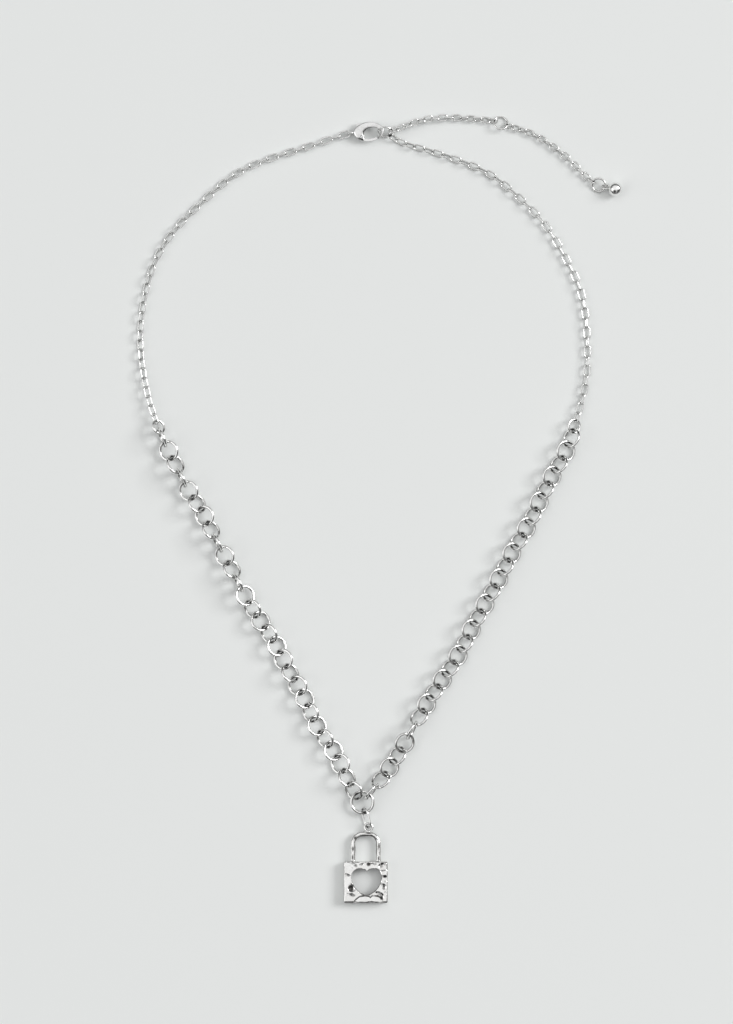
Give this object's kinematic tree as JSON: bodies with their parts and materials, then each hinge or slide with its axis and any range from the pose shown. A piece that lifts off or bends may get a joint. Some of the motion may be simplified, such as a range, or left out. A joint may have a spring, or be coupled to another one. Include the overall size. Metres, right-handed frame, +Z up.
{
  "type": "padlock pendant necklace",
  "caption": "Silver-coloured necklace of round and fine oval links with a heart-pierced hammered padlock pendant, lobster clasp and ball-ended extender chain.",
  "frame": {"origin": "middle of the open loop on the surface that the necklace lies on", "axes": "+Y from the pendant towards the clasp, +X towards the free end of the extender, +Z up from the surface, out of the pendant's front"},
  "size_m": [0.1295, 0.2105, 0.0058],
  "materials": {
    "cast_silver": "polished silver-coloured plate over a hammered casting",
    "chain_silver": "polished silver-coloured plate on round wire",
    "ring_silver": "polished silver-coloured plate on round wire",
    "clasp_silver": "polished silver-coloured plate over a small casting",
    "ball_silver": "mirror-polished silver-coloured plate"
  },
  "bodies": {
    "necklace": {"padlock_pendant": "cast_silver", "centre_ring": "ring_silver", "left_joining_ring": "ring_silver", "right_joining_ring": "ring_silver", "catch_ring": "ring_silver", "extender_ring": "ring_silver", "end_ring": "ring_silver", "pendant_jump_ring": "ring_silver", "left_round_chain": "chain_silver", "right_round_chain": "chain_silver", "left_fine_chain": "chain_silver", "right_fine_chain": "chain_silver", "extender_chain_inner": "chain_silver", "extender_chain_outer": "chain_silver", "clasp_body": "clasp_silver", "clasp_pin": "clasp_silver", "end_ball": "ball_silver"},
    "clasp_lever": {"clasp_lever": "clasp_silver"}
  },
  "joints": [
    {"name": "lever_hinge", "type": "hinge", "parent": "necklace", "child": "clasp_lever", "pos_m": [-0.0003, 0.08851, 0.00141], "axis": [-0.0696, -0.0049, 0.9976], "range_deg": [0, 22], "stiffness_Nm_per_rad": 0.0001}
  ]
}
